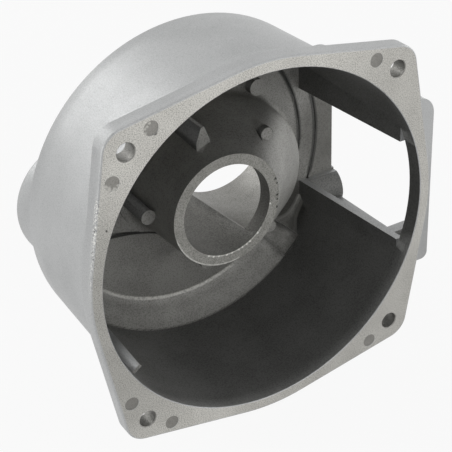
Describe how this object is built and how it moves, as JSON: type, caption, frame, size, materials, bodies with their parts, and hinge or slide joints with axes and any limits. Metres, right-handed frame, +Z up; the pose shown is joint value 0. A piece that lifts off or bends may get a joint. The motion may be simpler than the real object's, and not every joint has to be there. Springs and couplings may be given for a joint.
{
  "type": "pump housing",
  "caption": "One-piece cast pump housing: square bolt flange, drafted bell, internal bearing hub with an offset pocket, and a side window in a cover pad.",
  "frame": {"origin": "centre of the flange's front face, where the bore axis meets it", "axes": "+Y along the bore axis from the flange face to the rear, +Z up, +X across towards the side window"},
  "size_m": [0.2033, 0.1125, 0.198],
  "materials": {
    "cast_aluminium": "blasted as cast, with machined faces"
  },
  "bodies": {
    "root": {"pump_housing": "cast_aluminium"}
  },
  "joints": []
}
